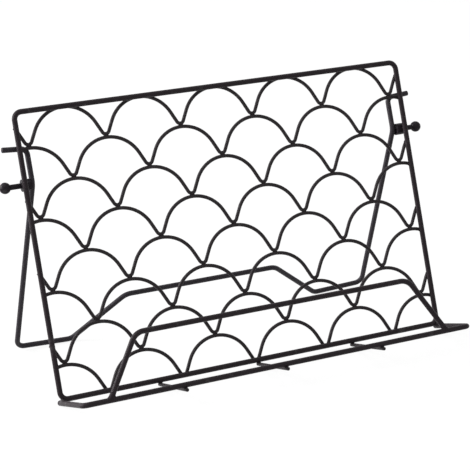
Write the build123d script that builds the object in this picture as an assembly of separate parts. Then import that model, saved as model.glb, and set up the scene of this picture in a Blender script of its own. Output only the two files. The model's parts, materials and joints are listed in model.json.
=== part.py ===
from build123d import *
from math import acos, atan2, cos, degrees, hypot, radians, sin, sqrt, tan
import os

# Driving dimensions, in millimetres and degrees, measured on the wires' centre lines
heavy_wire = 4.3  # frame, ledge, guard, leg and hinge pins
thin_wire = 2.9  # scallops and cross wires
weld_gap = 0.02  # hairline between wires that are welded together
heavy_rounding = 0.6  # on cut ends that show
thin_rounding = 0.4

# Back panel: a closed wire frame that leans back
frame_width = 340.0
frame_height = 223.0
frame_bend = 6.0
lean_angle = 21.2

# Scallops: wavy wires with wide round crests and tight troughs, on the frame's back
scallop_rows = 8
crests_across = 5
scallop_side_margin = 9.1  # outermost troughs to the side wires
scallop_inset = 0.1  # highest crests and lowest troughs to the frame's bars
scallop_overlap = 0.4  # cut ends past the side wires
trough_radius = 3.1
flank_gap = 0.8  # sideways, between the circle of a crest and the circle of a trough
weld_sink = 0.2  # how deep a trough is pressed onto the crest below it

# Ledge: a U of wire that stands out from the panel's foot, with cross wires under it
ledge_depth = 49.0
ledge_drop = 0.6  # the front bar sits lower than the arms do at the frame
ledge_bend = 4.0
arm_overhang = 4.0  # arms behind the frame
cross_wire_spacing = 87.0
cross_wire_rear = 2.0  # past the frame's bottom bar
cross_wire_front = 3.5  # past the ledge's front bar

# Page guard: a low trapezoid that stands on the ledge's front bar
guard_height = 46.5
guard_foot_inset = 21.5  # feet inside the ledge's arms
guard_side_slope = 28.5  # how far each side leans inwards
guard_bend = 12.0

# Rear leg: one wire, hinged to the side wires, with stubs that stop it when it is open
leg_angle = 17.3  # behind the vertical
leg_inset = 8.2  # inside the side wires, at the pivots
leg_play = 0.25  # between the stubs and the backs of the scallops
leg_splay = 1.8  # how much wider each foot stands than its pivot
foot_length = 48.1
foot_drop = 2.1  # the feet touch the table at their inner ends
bridge_run = 45.5  # width of each slope up to the raised middle bar
bridge_rise = 35.0
stub_rise = 27.7  # above the pivots
stub_reach = 11.8  # beyond the side wires
stub_lift = 1.4  # from their bends to their cut ends
pivot_bend = 11.0
leg_bend = 5.0

# Hinges: a bush behind each side wire, and a pin with a ball on the leg
pin_clearance = 0.05
side_play = 0.3  # between the leg and a bush
bush_diameter = 9.6
bush_overlap = 0.6  # a bush reaches past the side wire's centre line
ball_diameter = 9.0
ball_reach = 14.2  # ball centres beyond the side wires

frame_half = frame_width / 2
heavy_radius = heavy_wire / 2
thin_radius = thin_wire / 2
lean = radians(lean_angle)

# Shape of one scallop wave: crest and trough arcs, and flanks that are tangent to both
period = (frame_width - 2 * scallop_side_margin) / crests_across
row_gap = thin_wire - weld_sink
wave_height = (frame_height - 2 * scallop_inset - (scallop_rows - 1) * row_gap) / scallop_rows
row_pitch = wave_height + row_gap
crest_radius = period / 2 - trough_radius - flank_gap
arc_centre_rise = crest_radius + trough_radius - wave_height
arc_centre_distance = hypot(period / 2, arc_centre_rise)
arc_centre_slope = atan2(arc_centre_rise, period / 2)
tangent_angle = arc_centre_slope + acos((crest_radius + trough_radius) / arc_centre_distance)
crest_reach = crest_radius * cos(tangent_angle)
trough_reach = trough_radius * cos(tangent_angle)
scallop_depth = heavy_radius + weld_gap + thin_radius
scallop_end = frame_half + scallop_overlap

# The ledge's arms are under the side wires, against the outside of the frame's lower corners
arm_level = frame_bend - sqrt((frame_bend + heavy_wire + weld_gap) ** 2 - frame_bend**2)
ledge_level = arm_level - ledge_drop
arm_rear_level = arm_level + ledge_drop * arm_overhang / ledge_depth
guard_foot_half = frame_half - guard_foot_inset
guard_top_half = guard_foot_half - guard_side_slope

# The stand rests on the rounded rear ends of the arms
arm_tilt = lean - atan2(ledge_drop, ledge_depth)
arm_rear_height = arm_rear_level * cos(lean) - arm_overhang * sin(lean)
rounding_drop = (heavy_radius - heavy_rounding) * cos(arm_tilt) + heavy_rounding * (1 - sin(arm_tilt))
table_height = arm_rear_height - rounding_drop

# The leg turns behind the side wires, and its stubs stop on the second row's outermost crests
pivot_depth = heavy_radius + weld_gap + bush_diameter / 2
stub_depth = scallop_depth + thin_radius + leg_play + heavy_radius
stub_level = frame_height - scallop_inset - row_pitch
pivot_level = stub_level - stub_rise
leg_half = frame_half - leg_inset
foot_half = leg_half + leg_splay
leg_outside = leg_half + heavy_radius
leg_spread = lean + radians(leg_angle)

# The leg reaches the table with the undersides of its toes, which are bent round
foot_slope = atan2(foot_drop, foot_length)
bridge_slope = atan2(bridge_rise + foot_drop, bridge_run)
toe_turn = (bridge_slope + foot_slope) / 2
toe_rounding = leg_bend * (cos(bridge_slope - toe_turn) / cos(toe_turn) - 1)
pivot_height = pivot_level * cos(lean) - pivot_depth * sin(lean) - table_height
leg_length = (pivot_height - heavy_radius) / cos(radians(leg_angle)) + toe_rounding
ball_centre = frame_half + ball_reach


# A round wire bent along a path
def bent_wire(path, diameter):
    start = Plane(origin=path @ 0, z_dir=path % 0)
    return sweep(start * Circle(diameter / 2), path=path)


# A wire with the edges of its cut ends rounded off
def rounded_ends(wire, rounding):
    ends = wire.faces().filter_by(GeomType.PLANE)
    return fillet([end.edge() for end in ends], rounding)


# A round bar across the stand, from one distance out to another
def cross_bar(inner, outer, level, depth, radius):
    return Pos((inner + outer) / 2, level, -depth) * Rot(0, 90, 0) * Cylinder(radius, abs(outer - inner))


def make_back_frame():
    corners = [(-frame_half, 0), (frame_half, 0), (frame_half, frame_height), (-frame_half, frame_height)]
    return bent_wire(FilletPolyline(*corners, radius=frame_bend, close=True), heavy_wire)


# Sideways distance to the nearest crest, from a distance to any crest
def nearest_crest(distance):
    return abs((distance + period / 2) % period - period / 2)


def on_flank(distance):
    return crest_reach < nearest_crest(distance) < period / 2 - trough_reach


# Height of a wavy wire above its troughs, at a sideways distance from any crest
def wave_level(distance):
    from_crest = nearest_crest(distance)
    from_trough = period / 2 - from_crest
    if on_flank(distance):
        return trough_radius * (1 - sin(tangent_angle)) + (from_trough - trough_reach) / tan(tangent_angle)
    if from_crest - crest_reach < from_trough - trough_reach:
        return wave_height - crest_radius + sqrt(crest_radius**2 - from_crest**2)
    return trough_radius - sqrt(trough_radius**2 - from_trough**2)


# A point of a row's wavy wire
def scallop_point(row, x):
    shift = period / 2 * (row % 2)
    trough_level = frame_height - scallop_inset - row * row_pitch - wave_height
    return Vector(x, trough_level + wave_level(x - shift), -scallop_depth)


# Where a row's troughs are, from the left
def trough_places(row):
    first = period / 2 * ((row + 1) % 2)
    places = [first + turn * period for turn in range(-crests_across, crests_across)]
    return [x for x in places if abs(x) < scallop_end]


# One row: arcs over the crests, arcs under the troughs and straight flanks between them
def make_scallop_wire(row):
    shift = period / 2 * (row % 2)
    joints = []
    for turn in range(-crests_across, crests_across):
        crest = shift + turn * period
        trough = crest + period / 2
        joints += [crest - crest_reach, crest + crest_reach, trough - trough_reach, trough + trough_reach]
    inner_joints = sorted(joint for joint in joints if abs(joint) < scallop_end)
    stops = [-scallop_end, *inner_joints, scallop_end]
    path = []
    for left, right in zip(stops, stops[1:]):
        middle = (left + right) / 2
        ends = scallop_point(row, left), scallop_point(row, right)
        if on_flank(middle - shift):
            path.append(Line(*ends))
        else:
            path.append(ThreePointArc(ends[0], scallop_point(row, middle), ends[1]))
    wire = bent_wire(Wire(path), thin_wire)
    if row == scallop_rows - 1:
        return wire
    return wire - [make_crest_seat(row + 1, x) for x in trough_places(row)]


# The top of a crest, which leaves its hollow in the trough that is pressed onto it
def make_crest_seat(row, x):
    reach = trough_radius + thin_wire
    crest = ThreePointArc(*[scallop_point(row, x + step) for step in (-reach, 0, reach)])
    return bent_wire(Wire([crest]), thin_wire + 2 * weld_gap)


def make_ledge_rail():
    corners = [
        (-frame_half, arm_rear_level, -arm_overhang),
        (-frame_half, ledge_level, ledge_depth),
        (frame_half, ledge_level, ledge_depth),
        (frame_half, arm_rear_level, -arm_overhang),
    ]
    rail = bent_wire(FilletPolyline(*corners, radius=ledge_bend), heavy_wire)
    return rounded_ends(rail, heavy_rounding)


# A cross wire lies under the frame's bottom bar and the ledge's front bar
def make_cross_wire(x):
    slope = atan2(ledge_level, ledge_depth)
    drop = heavy_radius + weld_gap + thin_radius
    length = hypot(ledge_level, ledge_depth)
    line = Plane(origin=(x, 0, 0), x_dir=(0, sin(slope), cos(slope)), z_dir=(1, 0, 0))
    rear = line.from_local_coords((-cross_wire_rear, drop, 0))
    front = line.from_local_coords((length + cross_wire_front, drop, 0))
    return rounded_ends(bent_wire(Wire([Line(rear, front)]), thin_wire), thin_rounding)


# The guard's feet are cut to sit on the ledge's front bar
def make_page_guard():
    top = ledge_level + guard_height
    corners = [
        (-guard_foot_half, ledge_level, ledge_depth),
        (-guard_top_half, top, ledge_depth),
        (guard_top_half, top, ledge_depth),
        (guard_foot_half, ledge_level, ledge_depth),
    ]
    guard = bent_wire(FilletPolyline(*corners, radius=guard_bend), heavy_wire)
    seat = cross_bar(-frame_half, frame_half, ledge_level, -ledge_depth, heavy_radius + weld_gap)
    return guard - seat


# A point of the open leg, at a distance down from its pivots
def leg_point(x, down):
    return (x, pivot_level - down * cos(leg_spread), -pivot_depth - down * sin(leg_spread))


def make_rear_leg():
    stub_end = frame_half + stub_reach
    foot_down = leg_length - foot_drop
    bridge_down = foot_down - bridge_rise
    toe_half = foot_half - foot_length
    bridge_half = toe_half - bridge_run
    left = [
        (-stub_end, stub_level + stub_lift, -stub_depth),
        (-leg_half, stub_level, -stub_depth),
        (-leg_half, pivot_level, -pivot_depth),
        leg_point(-foot_half, foot_down),
        leg_point(-toe_half, leg_length),
        leg_point(-bridge_half, bridge_down),
    ]
    right = [(-x, level, front) for x, level, front in reversed(left)]
    half_bends = [leg_bend, pivot_bend, leg_bend, leg_bend, leg_bend]
    leg = bent_wire(FilletPolyline(*left, *right, radius=half_bends + half_bends[::-1]), heavy_wire)
    return rounded_ends(leg, heavy_rounding)


# The right hinge; the left one is its mirror image
def make_pivot_bush():
    inner = leg_outside + side_play
    outer = frame_half + bush_overlap
    body = cross_bar(inner, outer, pivot_level, pivot_depth, bush_diameter / 2)
    return body - cross_bar(inner, outer, pivot_level, pivot_depth, heavy_radius + pin_clearance)


def make_hinge_pin():
    splay_room = heavy_radius * leg_splay / leg_length
    inner = leg_outside + weld_gap + splay_room
    return cross_bar(inner, ball_centre, pivot_level, pivot_depth, heavy_radius)


def make_ball_end():
    ball = Pos(ball_centre, pivot_level, -pivot_depth) * Sphere(ball_diameter / 2)
    bore_end = ball_centre + weld_gap
    return ball - cross_bar(leg_outside, bore_end, pivot_level, pivot_depth, heavy_radius + weld_gap)


# Every piece, with x to the right, y up the panel and z out of its front
pieces = {
    "back_frame": make_back_frame(),
    "ledge_rail": make_ledge_rail(),
    "page_guard": make_page_guard(),
    "rear_leg": make_rear_leg(),
}
for row in range(scallop_rows):
    pieces[f"scallop_wire_{row + 1}"] = make_scallop_wire(row)
for place, name in ((-1, "left"), (0, "centre"), (1, "right")):
    pieces[f"ledge_cross_wire_{name}"] = make_cross_wire(place * cross_wire_spacing)
hinge = {"pivot_bush": make_pivot_bush(), "hinge_pin": make_hinge_pin(), "ball_end": make_ball_end()}
for name, piece in hinge.items():
    pieces[f"{name}_right"] = piece
    pieces[f"{name}_left"] = mirror(piece, about=Plane.YZ)

# Lean the panel back, and stand it on the table with the origin under its middle
panel = Plane(origin=(0, 0, 0), x_dir=(1, 0, 0), z_dir=(0, -cos(lean), sin(lean)))
leaning = {name: panel * piece for name, piece in pieces.items()}
box = Compound(list(leaning.values())).bounding_box()
seat = Pos(0, -box.center().Y, -box.min.Z)

os.makedirs("parts", exist_ok=True)
for name, piece in leaning.items():
    export_step(seat * piece, f"parts/{name}.step")
print("overall size", [round(length, 2) for length in box.size], "panel moved by", seat.position)
print("leg length", round(leg_length, 2), "fold", round(degrees(leg_spread), 2))
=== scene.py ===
import json
import math

import bmesh
import bpy
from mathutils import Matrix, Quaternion, Vector, noise


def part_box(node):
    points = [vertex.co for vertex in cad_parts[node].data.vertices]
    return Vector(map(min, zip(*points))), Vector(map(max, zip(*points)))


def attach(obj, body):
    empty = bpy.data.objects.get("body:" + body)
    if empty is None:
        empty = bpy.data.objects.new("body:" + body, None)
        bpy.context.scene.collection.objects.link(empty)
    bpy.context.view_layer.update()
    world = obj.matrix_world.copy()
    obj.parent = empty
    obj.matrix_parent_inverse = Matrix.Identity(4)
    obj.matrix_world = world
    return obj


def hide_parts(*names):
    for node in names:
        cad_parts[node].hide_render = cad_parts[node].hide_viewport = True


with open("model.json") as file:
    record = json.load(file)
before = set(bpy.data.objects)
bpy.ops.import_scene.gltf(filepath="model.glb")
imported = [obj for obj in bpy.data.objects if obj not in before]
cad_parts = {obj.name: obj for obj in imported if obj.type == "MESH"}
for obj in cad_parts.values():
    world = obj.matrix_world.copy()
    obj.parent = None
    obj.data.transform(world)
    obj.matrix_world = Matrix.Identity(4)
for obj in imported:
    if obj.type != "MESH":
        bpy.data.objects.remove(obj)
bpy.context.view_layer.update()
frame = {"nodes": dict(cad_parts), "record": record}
scene = bpy.context.scene
nodes = frame["nodes"]
print("frame loaded:", len(nodes), "wires and fittings")

# wire sizes in metres, and where the leaning panel stands
wire = {"heavy": 0.0043, "thin": 0.0029, "gap": 0.00002}
panel = {"width": 0.340, "height": 0.223, "bend": 0.006, "lean": math.radians(21.2)}
heavyRadius = wire["heavy"] / 2
thinRadius = wire["thin"] / 2
halfWidth = panel["width"] / 2
frameLow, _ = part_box("back_frame")
panelOrigin = Vector((0, frameLow.y + heavyRadius, frameLow.z + heavyRadius))
panelUp = Vector((0, math.sin(panel["lean"]), math.cos(panel["lean"])))
panelBack = Vector((0, math.cos(panel["lean"]), -math.sin(panel["lean"])))
across = Vector((1, 0, 0))


def panelPoint(x, up, behind):
    return panelOrigin + across * x + panelUp * up + panelBack * behind


# a shader value: arithmetic on it adds Math nodes, and | takes the larger of two masks
class Value:
    def __init__(self, paint, socket):
        self.paint = paint
        self.socket = socket

    def __add__(self, other):
        return self.paint.math("ADD", self, other)

    def __radd__(self, other):
        return self.paint.math("ADD", other, self)

    def __sub__(self, other):
        return self.paint.math("SUBTRACT", self, other)

    def __rsub__(self, other):
        return self.paint.math("SUBTRACT", other, self)

    def __mul__(self, other):
        return self.paint.math("MULTIPLY", self, other)

    def __rmul__(self, other):
        return self.paint.math("MULTIPLY", other, self)

    def __or__(self, other):
        return self.paint.math("MAXIMUM", self, other)

    def __ror__(self, other):
        return self.paint.math("MAXIMUM", other, self)


# the nodes of one material or world
class Paint:
    def __init__(self, owner):
        owner.use_nodes = True
        self.tree = owner.node_tree
        self.tree.nodes.clear()

    # one node: its settings first, then values or links for its sockets
    def add(self, kind, settings, sockets, output=0):
        node = self.tree.nodes.new(kind)
        for name, setting in settings.items():
            setattr(node, name, setting)
        for name, value in sockets.items():
            if isinstance(value, Value):
                self.tree.links.new(value.socket, node.inputs[name])
            else:
                node.inputs[name].default_value = value
        return Value(self, node.outputs[output]) if node.outputs else node

    def math(self, operation, first, second):
        return self.add("ShaderNodeMath", {"operation": operation}, {0: first, 1: second})


noiseMean = 0.5


def noiseValue(paint, place, scale, detail, rough):
    sockets = {"Vector": place, "Scale": scale, "Detail": detail, "Roughness": rough}
    return paint.add("ShaderNodeTexNoise", {}, sockets)


# 0 up to the start, 1 from the end on, with a soft step between them
def softStep(paint, value, start, end):
    sockets = {"Value": value, "From Min": start, "From Max": end}
    return paint.add("ShaderNodeMapRange", {"interpolation_type": "SMOOTHSTEP"}, sockets)


# the Mix node has a pair of sockets for each kind of value: 6, 7 and output 2 are the colours
def mixColour(paint, share, first, second):
    return paint.add("ShaderNodeMix", {"data_type": "RGBA"}, {0: share, 6: first, 7: second}, 2)


# satin black coat on wire: soft orange peel, fine grain, a little patchiness, rub marks here and
# there, and scuffs low down where the wire slides on a table
def makeCoat(name, look):
    material = bpy.data.materials.new(name)
    paint = Paint(material)
    place = paint.add("ShaderNodeTexCoord", {}, {}, "Object")
    level = paint.add("ShaderNodeSeparateXYZ", {}, {"Vector": place}, "Z")
    peel = noiseValue(paint, place, *look["peel"])
    grain = noiseValue(paint, place, *look["grain"])
    patch = noiseValue(paint, place, *look["patch"])
    marks = noiseValue(paint, place, *look["rub"])
    rub = softStep(paint, marks, *look["rubRange"]) * look["rubShare"]
    scuff = (1 - softStep(paint, level, *look["scuffLevels"])) * grain * look["scuffShare"]
    worn = rub + scuff
    coatColour = mixColour(paint, patch, look["dark"], look["light"])
    uneven = (patch - noiseMean) * look["patchRough"] + (grain - noiseMean) * look["grainRough"]
    height = peel * look["peelShare"] + grain * (1 - look["peelShare"])
    bumpSockets = {"Strength": look["bump"], "Distance": look["bumpDepth"], "Height": height}
    sockets = {
        "Base Color": mixColour(paint, worn, coatColour, look["worn"]),
        "Roughness": look["rough"] + uneven - worn * look["wornPolish"],
        "Normal": paint.add("ShaderNodeBump", {}, bumpSockets),
        "Specular IOR Level": look["specular"],
    }
    shader = paint.add("ShaderNodeBsdfPrincipled", {}, sockets)
    paint.add("ShaderNodeOutputMaterial", {}, {"Surface": shader})
    return material


coat = {
    "dark": (0.0203, 0.0151, 0.0181, 1),
    "light": (0.0286, 0.0229, 0.0264, 1),
    "worn": (0.062, 0.057, 0.060, 1),
    "rough": 0.36,
    "patchRough": 0.10,
    "grainRough": 0.08,
    "wornPolish": 0.12,
    "specular": 0.08,
    "peel": (900.0, 2.0, 0.5),  # each noise: scale, detail and roughness
    "grain": (4200.0, 3.0, 0.6),
    "patch": (60.0, 3.0, 0.5),
    "rub": (130.0, 4.0, 0.6),
    "peelShare": 0.55,
    "bump": 0.9,
    "bumpDepth": 0.0003,
    "rubRange": (0.58, 0.70),
    "rubShare": 0.6,
    "scuffLevels": (0.0004, 0.0022),  # above the table, from full to none
    "scuffShare": 0.7,
}
# the leg has the same coat as the frame, painted lighter: painted light for the light the table bounces
# onto it
legCoatPaintedLight = {**coat, "dark": (0.0311, 0.0273, 0.0329, 1), "light": (0.0389, 0.0346, 0.0406, 1)}
thinCoat = {
    **coat,
    "dark": (0.0268, 0.0225, 0.0246, 1),
    "light": (0.0346, 0.0298, 0.0324, 1),
    "rough": 0.39,
    "peel": (1100.0, 2.0, 0.5),
    "patch": (80.0, 3.0, 0.5),
}
hingeCoat = {
    **coat,
    "dark": (0.0125, 0.0095, 0.0130, 1),
    "light": (0.0186, 0.0151, 0.0190, 1),
    "rough": 0.32,
    "bump": 0.6,
}
weldCoat = {**coat, "rough": 0.5, "peel": (1500.0, 2.0, 0.5), "patch": (300.0, 3.0, 0.5), "bump": 0.5}
materials = {
    "frame_coat": makeCoat("satinFrameCoat", coat),
    "thin_wire_coat": makeCoat("satinThinWireCoat", thinCoat),
    "hinge_coat": makeCoat("satinHingeCoat", hingeCoat),
}
# the leg's lighter coat is painted light, not a different finish
legPaintedLightMaterial = makeCoat("satinLegCoatPaintedLight", legCoatPaintedLight)
weldMaterial = makeCoat("satinWeldCoat", weldCoat)
for entry in frame["record"]["subparts"]:
    mesh = nodes[entry["node"]].data
    mesh.materials.clear()
    mesh.materials.append(materials[entry["material_slot"]])
print("coats made")


def addPiece(name, bm, body, material):
    data = bpy.data.meshes.new(name)
    bmesh.ops.recalc_face_normals(bm, faces=bm.faces)
    bm.to_mesh(data)
    bm.free()
    data.materials.append(material)
    for face in data.polygons:
        face.use_smooth = True
    piece = bpy.data.objects.new(name, data)
    scene.collection.objects.link(piece)
    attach(piece, body)
    return piece


# skin a row of rings, and close each end on a hub
def skinRings(bm, rings, hubs):
    for upper, lower in zip(rings, rings[1:]):
        for turn in range(len(upper)):
            after = (turn + 1) % len(upper)
            bm.faces.new((upper[turn], upper[after], lower[after], lower[turn]))
    for ring, centre in zip((rings[0], rings[-1]), hubs):
        hub = bm.verts.new(centre)
        for turn in range(len(ring)):
            bm.faces.new((ring[turn], ring[(turn + 1) % len(ring)], hub))


# scallop wave, as on the wires themselves
scallop = {
    "rows": 8,
    "crests": 5,
    "sideMargin": 0.0091,
    "inset": 0.0001,
    "overlap": 0.0004,
    "troughRadius": 0.0031,
    "flankGap": 0.0008,
    "sink": 0.0002,
}
period = 2 * (halfWidth - scallop["sideMargin"]) / scallop["crests"]
rowGap = wire["thin"] - scallop["sink"]
lastRow = scallop["rows"] - 1
waveHeight = (panel["height"] - 2 * scallop["inset"] - lastRow * rowGap) / scallop["rows"]
rowPitch = waveHeight + rowGap
crestRadius = period / 2 - scallop["troughRadius"] - scallop["flankGap"]
scallopDepth = heavyRadius + wire["gap"] + thinRadius
weldDepth = heavyRadius + wire["gap"] / 2  # where wires meet on the back of the frame
scallopEnd = halfWidth + scallop["overlap"]


def crestLevel(row):
    return panel["height"] - scallop["inset"] - row * rowPitch


def troughPlaces(row):
    first = period / 2 * ((row + 1) % 2)
    places = [first + turn * period for turn in range(-scallop["crests"], scallop["crests"])]
    return [x for x in places if abs(x) < scallopEnd]


# the cut ends lie on the arc of an outer crest
def endLevel(row):
    fromCrest = abs((scallopEnd - period / 2 * (row % 2) + period / 2) % period - period / 2)
    return crestLevel(row) - crestRadius + math.sqrt(crestRadius**2 - fromCrest**2)


# rear leg: one wire, with the wide soft bends at its feet and middle bar that a bending jig leaves
leg = {
    "inset": 0.0082,  # inside the side wires
    "play": 0.00025,  # behind the scallops that stop it
    "angle": math.radians(17.3),  # behind the vertical
    "splay": 0.0018,
    "footLength": 0.0481,
    "footDrop": 0.0021,
    "bridgeRun": 0.0455,
    "bridgeRise": 0.0350,
    "stubReach": 0.0118,
    "stubLift": 0.0014,
    "bends": {"stub": 0.0050, "pivot": 0.0110, "foot": 0.0068, "toe": 0.0090, "bridge": 0.0135},
    "rounding": 0.0006,  # on its cut ends
}
hinge = {"stubRise": 0.0277, "bush": 0.0096, "weld": (0.0021, 0.0026, 0.0009)}
wireMesh = {"around": 48, "bendStep": math.radians(4), "rimSteps": 4}
stubLevel = crestLevel(1)
stubDepth = scallopDepth + thinRadius + leg["play"] + heavyRadius
pivotLevel = stubLevel - hinge["stubRise"]
pivotDepth = heavyRadius + wire["gap"] + hinge["bush"] / 2


# straight runs with a round bend at each corner: points, and the way the wire runs at each
def bentPath(corners, bends):
    path = [(corners[0], (corners[1] - corners[0]).normalized())]
    for before, corner, after, bend in zip(corners, corners[1:], corners[2:], bends):
        inward = (corner - before).normalized()
        turn = inward.angle(after - corner)
        axis = inward.cross(after - corner).normalized()
        start = corner - inward * bend * math.tan(turn / 2)
        centre = start + axis.cross(inward) * bend
        steps = math.ceil(turn / wireMesh["bendStep"])
        for step in range(steps + 1):
            spin = Quaternion(axis, turn * step / steps)
            path.append((centre + spin @ (start - centre), spin @ inward))
    path.append((corners[-1], (corners[-1] - corners[-2]).normalized()))
    return path


# a round wire along a path, with the rims of its cut ends rounded off
def addWire(bm, path, radius, rounding):
    (start, startWay), *inner, (end, endWay) = path
    rims = []
    for step in range(wireMesh["rimSteps"] + 1):
        angle = math.pi / 2 * step / wireMesh["rimSteps"]
        rims.append((rounding * (1 - math.sin(angle)), radius - rounding * (1 - math.cos(angle))))
    stations = [(start + startWay * inset, startWay, girth) for inset, girth in reversed(rims)]
    stations += [(point, way, radius) for point, way in inner]
    stations += [(end - endWay * inset, endWay, girth) for inset, girth in rims]
    angles = [2 * math.pi * turn / wireMesh["around"] for turn in range(wireMesh["around"])]
    rings = []
    side = startWay.orthogonal().normalized()
    lastWay = startWay
    for centre, way, girth in stations:
        side.rotate(lastWay.rotation_difference(way))
        lastWay = way
        spokes = [Quaternion(way, angle) @ side * girth for angle in angles]
        rings.append([bm.verts.new(centre + spoke) for spoke in spokes])
    skinRings(bm, rings, (start, end))


# the leg's corners from stub to stub, long enough for its toes to touch the table
def legCorners():
    spread = panel["lean"] + leg["angle"]
    footSlope = math.atan2(leg["footDrop"], leg["footLength"])
    bridgeSlope = math.atan2(leg["bridgeRise"] + leg["footDrop"], leg["bridgeRun"])
    toeTurn = (bridgeSlope + footSlope) / 2
    toeLift = leg["bends"]["toe"] * (math.cos(bridgeSlope - toeTurn) / math.cos(toeTurn) - 1)
    pivotHeight = panelPoint(0, pivotLevel, pivotDepth).z
    length = (pivotHeight - heavyRadius) / math.cos(leg["angle"]) + toeLift
    legHalf = halfWidth - leg["inset"]
    footHalf = legHalf + leg["splay"]
    toeHalf = footHalf - leg["footLength"]

    def below(x, down):
        return x, pivotLevel - down * math.cos(spread), pivotDepth + down * math.sin(spread)

    half = [
        (halfWidth + leg["stubReach"], stubLevel + leg["stubLift"], stubDepth),
        (legHalf, stubLevel, stubDepth),
        (legHalf, pivotLevel, pivotDepth),
        below(footHalf, length - leg["footDrop"]),
        below(toeHalf, length),
        below(toeHalf - leg["bridgeRun"], length - leg["footDrop"] - leg["bridgeRise"]),
    ]
    left = [panelPoint(-x, up, behind) for x, up, behind in half]
    right = [panelPoint(x, up, behind) for x, up, behind in reversed(half)]
    return left + right


legMesh = bmesh.new()
halfBends = list(leg["bends"].values())
addWire(legMesh, bentPath(legCorners(), halfBends + halfBends[::-1]), heavyRadius, leg["rounding"])
legPiece = addPiece("rear_leg_wire", legMesh, "leg", legPaintedLightMaterial)
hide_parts("rear_leg")
print("rear leg bent")

# weld nuggets: uneven lumps in the notch between two wires, sized along x, up and back
nugget = {"level": 3, "lump": 0.16, "lumpScale": 900.0}


def addNugget(bm, x, up, behind, size):
    centre = panelPoint(x, up, behind)
    wide, tall, deep = size
    made = bmesh.ops.create_icosphere(bm, subdivisions=nugget["level"], radius=1.0)
    for vert in made["verts"]:
        spot = vert.co
        point = centre + across * spot.x * wide + panelUp * spot.y * tall + panelBack * spot.z * deep
        swell = 1 + nugget["lump"] * noise.noise(point * nugget["lumpScale"])
        vert.co = centre + (point - centre) * swell


scallopWeld = {
    "rows": (0.0022, 0.0008, 0.0011),
    "bars": (0.0024, 0.0010, 0.0007),
    "ends": (0.0013, 0.0017, 0.0007),
    "endInset": 0.0009,
}
welds = bmesh.new()
for row in range(lastRow):
    for x in troughPlaces(row):
        addNugget(welds, x, crestLevel(row + 1) + rowGap / 2, scallopDepth, scallopWeld["rows"])
for x in troughPlaces(lastRow):
    addNugget(welds, x, crestLevel(lastRow) - waveHeight, weldDepth, scallopWeld["bars"])
for x in troughPlaces(1):  # where the first row has its crests, behind the top bar
    addNugget(welds, x, crestLevel(0), weldDepth, scallopWeld["bars"])
for row in range(scallop["rows"]):
    for side in (-1, 1):
        place = side * (halfWidth - scallopWeld["endInset"])
        addNugget(welds, place, endLevel(row), weldDepth, scallopWeld["ends"])
addPiece("scallop_welds", welds, "stand", weldMaterial)
print("scallop welds made")

# ledge: arms against the frame's lower corners, cross wires under its bars, guard on its front bar
ledge = {"drop": 0.0006, "depth": 0.049, "crossSpacing": 0.087}
ledgeWeld = {"arms": (0.0019, 0.0017, 0.0027), "cross": (0.0019, 0.0007, 0.0019)}
bend = panel["bend"]
armReach = bend + wire["heavy"] + wire["gap"]  # from a lower corner's bend centre to an arm
armLevel = bend - math.sqrt(armReach**2 - bend**2)
frontLevel = armLevel - ledge["drop"]
cornerShare = bend / armReach  # sine of the way from the bend's centre to an arm
cornerOut = halfWidth - bend + (bend + heavyRadius) * cornerShare
cornerUp = bend - (bend + heavyRadius) * math.sqrt(1 - cornerShare**2)
welds = bmesh.new()
for side in (-1, 1):
    addNugget(welds, side * cornerOut, cornerUp, 0, ledgeWeld["arms"])
for place in (-1, 0, 1):
    x = place * ledge["crossSpacing"]
    addNugget(welds, x, -weldDepth, 0, ledgeWeld["cross"])
    addNugget(welds, x, frontLevel - weldDepth, -ledge["depth"], ledgeWeld["cross"])

# guard feet: a hollow-sided skirt of weld from the slanted wire out along the front bar
guard = {"footInset": 0.0215, "slope": 0.0285, "height": 0.0465}
skirt = {
    "rise": 0.0030,
    "flare": 0.0017,
    "proud": 0.00008,
    "sink": 0.0002,
    "lump": 0.00014,
    "steps": 8,
    "around": 40,
}


def addSkirt(bm, side):
    slant = math.atan2(guard["slope"], guard["height"])
    foot = panelPoint(side * (halfWidth - guard["footInset"]), frontLevel, -ledge["depth"])
    axis = -side * math.sin(slant) * across + math.cos(slant) * panelUp
    sideways = math.cos(slant) * across + side * math.sin(slant) * panelUp
    radius = heavyRadius + skirt["proud"]
    topCentre = foot + axis * (heavyRadius + skirt["rise"]) / math.cos(slant)
    rings = [[] for step in range(skirt["steps"] + 1)]
    for turn in range(skirt["around"]):
        angle = 2 * math.pi * turn / skirt["around"]
        behind = radius * math.sin(angle)
        level = math.sqrt(max(heavyRadius**2 - behind**2, 0)) - skirt["sink"]
        middle = foot + panelUp * level - across * side * level * math.tan(slant) + panelBack * behind
        out = across * math.cos(angle)
        top = topCentre + (sideways * math.cos(angle) + panelBack * math.sin(angle)) * radius
        corner = middle + out * radius / math.cos(slant)
        bottom = corner + out * skirt["flare"]
        for step, ring in enumerate(rings):
            share = step / skirt["steps"]
            point = top * (1 - share) ** 2 + corner * 2 * share * (1 - share) + bottom * share**2
            lump = skirt["lump"] * noise.noise(point * nugget["lumpScale"]) * math.sin(math.pi * share)
            ring.append(bm.verts.new(point + (out + panelBack * math.sin(angle)) * lump))
    skinRings(bm, rings, (topCentre, foot))


for side in (-1, 1):
    addSkirt(welds, side)
addPiece("ledge_welds", welds, "stand", weldMaterial)
print("ledge welds made")

# hinges: each bush is welded to the back of its side wire
welds = bmesh.new()
for side in (-1, 1):
    addNugget(welds, side * halfWidth, pivotLevel, weldDepth, hinge["weld"])
addPiece("hinge_welds", welds, "stand", weldMaterial)
print("hinge welds made")

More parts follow.
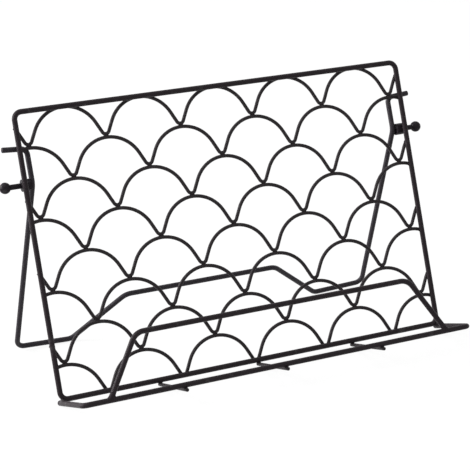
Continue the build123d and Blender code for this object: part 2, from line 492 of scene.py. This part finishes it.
# camera at the photograph's place
view = {
    "azimuth": math.radians(26.691),
    "elevation": math.radians(20.011),
    "focal": 3.8670,  # in picture widths
    "sensor": 36.0,
    "farClip": 50.0,
    "distance": 1.4172,
    "target": (-0.0210, 0, 0.1103),  # from the foot of the panel
}
swing = Quaternion((0, 0, 1), -view["azimuth"])
dip = Quaternion((1, 0, 0), -view["elevation"])
look = swing @ dip @ Vector((0, 1, 0))
camera = bpy.data.objects.new("camera", bpy.data.cameras.new("camera"))
camera.data.sensor_width = view["sensor"]
camera.data.lens = view["focal"] * view["sensor"]
camera.data.clip_end = view["farClip"]
camera.location = panelOrigin + Vector(view["target"]) - look * view["distance"]
camera.rotation_euler = look.to_track_quat("-Z", "Y").to_euler()
scene.collection.objects.link(camera)
scene.camera = camera
print("camera placed")


# rays that see the white surroundings: straight views, reflections and anything see-through
def seenRays(paint):
    straight = paint.add("ShaderNodeLightPath", {}, {}, "Is Camera Ray")
    rays = straight.socket.node.outputs
    return straight | Value(paint, rays["Is Glossy Ray"]) | Value(paint, rays["Is Transmission Ray"])


# pale floor that is seen almost plain white, with a trace of shadow near the stand and none far off
floorLook = {
    "size": 6.0,
    "colour": (0.86, 0.86, 0.86, 1),
    "glow": 0.35,
    "plain": 0.85,  # share of plain white near the stand
    "fade": (0.7, 1.6),  # where that share rises to all
    "white": 1.0,
}
floorMesh = bmesh.new()
bmesh.ops.create_grid(floorMesh, x_segments=1, y_segments=1, size=floorLook["size"] / 2)
floorData = bpy.data.meshes.new("floor")
floorMesh.to_mesh(floorData)
floorMesh.free()
floor = bpy.data.objects.new("floor", floorData)
scene.collection.objects.link(floor)
floorMaterial = bpy.data.materials.new("paleFloor")
floorPaint = Paint(floorMaterial)
seen = seenRays(floorPaint)
matte = floorPaint.add("ShaderNodeBsdfDiffuse", {}, {"Color": floorLook["colour"]})
glow = floorPaint.add("ShaderNodeEmission", {}, {"Strength": seen * floorLook["glow"]})
litFloor = floorPaint.add("ShaderNodeAddShader", {}, {0: matte, 1: glow})
whiteFloor = floorPaint.add("ShaderNodeEmission", {}, {"Strength": floorLook["white"]})
floorPlace = floorPaint.add("ShaderNodeTexCoord", {}, {}, "Object")
farness = floorPaint.add("ShaderNodeVectorMath", {"operation": "LENGTH"}, {0: floorPlace}, "Value")
far = softStep(floorPaint, farness, *floorLook["fade"])
whiteShare = (far * (1 - floorLook["plain"]) + floorLook["plain"]) * seen
floorShader = floorPaint.add("ShaderNodeMixShader", {}, {0: whiteShare, 1: litFloor, 2: whiteFloor})
floorPaint.add("ShaderNodeOutputMaterial", {}, {"Surface": floorShader})
floorData.materials.append(floorMaterial)
print("floor laid")

# soft studio: white where it is seen, a quieter grey as light
studio = {"colour": (1, 1, 1, 1), "seen": 1.0, "light": 0.27}
world = bpy.data.worlds.new("studio")
scene.world = world
worldPaint = Paint(world)
strength = seenRays(worldPaint) * (studio["seen"] - studio["light"]) + studio["light"]
background = worldPaint.add("ShaderNodeBackground", {}, {"Color": studio["colour"], "Strength": strength})
worldPaint.add("ShaderNodeOutputWorld", {}, {"Surface": background})

# each lamp: its place, the spot it points at, its width and height, and its power in watts
lamps = {
    "topSoftbox": {"place": (-0.5, -0.2, 3.8), "aim": (0, 0, 0.1), "size": (3.2, 3.2), "power": 56},
    "leftSoftbox": {"place": (-2.8, 1.6, 1.2), "aim": (0, 0, 0.1), "size": (1.6, 2.0), "power": 200},
}
for name, lamp in lamps.items():
    data = bpy.data.lights.new(name, "AREA")
    data.shape = "RECTANGLE"
    data.size, data.size_y = lamp["size"]
    data.energy = lamp["power"]
    light = bpy.data.objects.new(name, data)
    light.location = lamp["place"]
    light.rotation_euler = (Vector(lamp["aim"]) - light.location).to_track_quat("-Z", "Y").to_euler()
    scene.collection.objects.link(light)
scene.view_settings.view_transform = "Standard"
print("studio lit")
